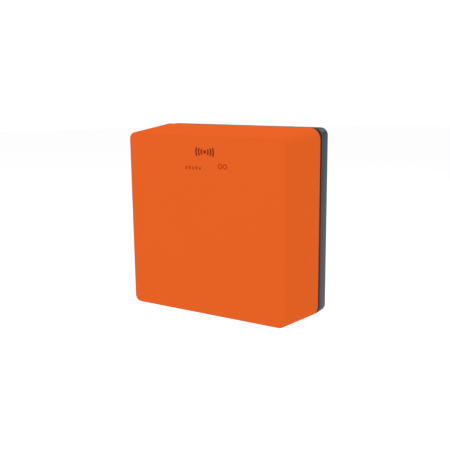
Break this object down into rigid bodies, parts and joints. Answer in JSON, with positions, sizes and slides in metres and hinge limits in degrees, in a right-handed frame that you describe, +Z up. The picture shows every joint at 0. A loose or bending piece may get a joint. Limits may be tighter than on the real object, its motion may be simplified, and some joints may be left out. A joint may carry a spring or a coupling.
{
  "type": "emergency position beacon in bulkhead housing",
  "caption": "Square orange weatherproof wall housing with a side-hinged drafted cover on a slate back shell, holding a distress beacon in a cradle.",
  "frame": {"origin": "centre of the flat wall face at the back of the housing", "axes": "+Y into the wall, the cover faces -Y, +Z up, +X to the right as seen from the front"},
  "size_m": [0.22, 0.09, 0.2212],
  "materials": {
    "housing_orange": "satin moulded orange, very even",
    "housing_slate": "fine-grained slate grey moulding",
    "black_rubber": "matt black rubber",
    "foam": "closed-cell foam",
    "black_fittings": "matt black moulding",
    "stainless": "brushed stainless steel",
    "cradle_plastic": "dark grey moulding",
    "beacon_yellow": "safety yellow-orange moulding",
    "clear_dome": "clear moulded lens",
    "circuit_board": "green solder mask",
    "led_lens": "warm white emitter",
    "ceramic_patch": "unglazed ceramic",
    "cell_wrap": "blue shrink wrap",
    "contact_brass": "polished",
    "reflective_tape": "silver retroreflective tape",
    "signal_red": "glossy red moulding",
    "button_white": "soft white button",
    "silicone": "translucent grey silicone"
  },
  "bodies": {
    "housing": {"back_shell": "housing_slate", "hinge_base_leaves": "black_fittings", "hinge_pins": "stainless", "hinge_base_screws": "stainless", "latch_pivots": "stainless", "vent_plug": "black_fittings", "vent_nut": "stainless", "fixing_grommets": "black_rubber", "cradle": "cradle_plastic", "cradle_screws": "stainless", "cradle_pads": "black_rubber", "inhibit_magnet": "stainless", "keeper_screws": "stainless"},
    "cover": {"front_cover": "housing_orange", "cover_gasket": "black_rubber", "cover_pad": "foam", "hinge_cover_leaves": "black_fittings", "hinge_cover_screws": "stainless", "latch_catches": "black_fittings"},
    "latch_left": {"latch_left": "black_fittings"},
    "latch_right": {"latch_right": "black_fittings"},
    "keeper_left": {"keeper_left": "black_fittings"},
    "keeper_right": {"keeper_right": "black_fittings"},
    "beacon": {"beacon_front_shell": "beacon_yellow", "beacon_rear_shell": "beacon_yellow", "beacon_seal": "black_rubber", "beacon_screws": "stainless", "strobe_dome": "clear_dome", "dome_seal": "black_rubber", "led_board": "circuit_board", "strobe_leds": "led_lens", "main_board": "circuit_board", "rf_shield": "stainless", "gnss_antenna": "ceramic_patch", "battery_cells": "cell_wrap", "battery_holder": "cradle_plastic", "buzzer": "black_fittings", "water_contacts": "contact_brass", "reflective_bands": "reflective_tape", "antenna_boot": "black_rubber", "antenna_blade": "stainless", "antenna_clip": "black_fittings", "lanyard_eye": "stainless", "activate_dome": "silicone", "test_dome": "silicone"},
    "arming_slider": {"arming_slider": "signal_red"},
    "activate_button": {"activate_button": "signal_red"},
    "test_button": {"test_button": "button_white"}
  },
  "joints": [
    {"name": "cover_hinge", "type": "hinge", "parent": "housing", "child": "cover", "pos_m": [-0.11, -0.01825, 0], "axis": [0, 0, -1], "range_deg": [0, 110]},
    {"name": "latch_left_turn", "type": "hinge", "parent": "housing", "child": "latch_left", "pos_m": [-0.06, -0.008, -0.1115], "axis": [0, 0, 1], "range_deg": [0, 90]},
    {"name": "latch_right_turn", "type": "hinge", "parent": "housing", "child": "latch_right", "pos_m": [0.06, -0.008, -0.1115], "axis": [0, 0, -1], "range_deg": [0, 90]},
    {"name": "keeper_left_turn", "type": "hinge", "parent": "housing", "child": "keeper_left", "pos_m": [-0.051, -0.0467, 0], "axis": [0, 1, 0], "range_deg": [0, 90]},
    {"name": "keeper_right_turn", "type": "hinge", "parent": "housing", "child": "keeper_right", "pos_m": [0.051, -0.0467, 0], "axis": [0, -1, 0], "range_deg": [0, 90]},
    {"name": "beacon_lift", "type": "slide", "parent": "housing", "child": "beacon", "axis": [0, 0, 1], "range_m": [0, 0.012]},
    {"name": "arming_slide", "type": "slide", "parent": "beacon", "child": "arming_slider", "axis": [0, 0, 1], "range_m": [0, 0.014]},
    {"name": "activate_press", "type": "slide", "parent": "beacon", "child": "activate_button", "axis": [0, 1, 0], "range_m": [0, 0.0015], "stiffness_N_per_m": 600, "springref_m": -0.001, "deforming": ["activate_dome"]},
    {"name": "test_press", "type": "slide", "parent": "beacon", "child": "test_button", "axis": [0, 1, 0], "range_m": [0, 0.0015], "stiffness_N_per_m": 600, "springref_m": -0.001, "deforming": ["test_dome"]}
  ]
}
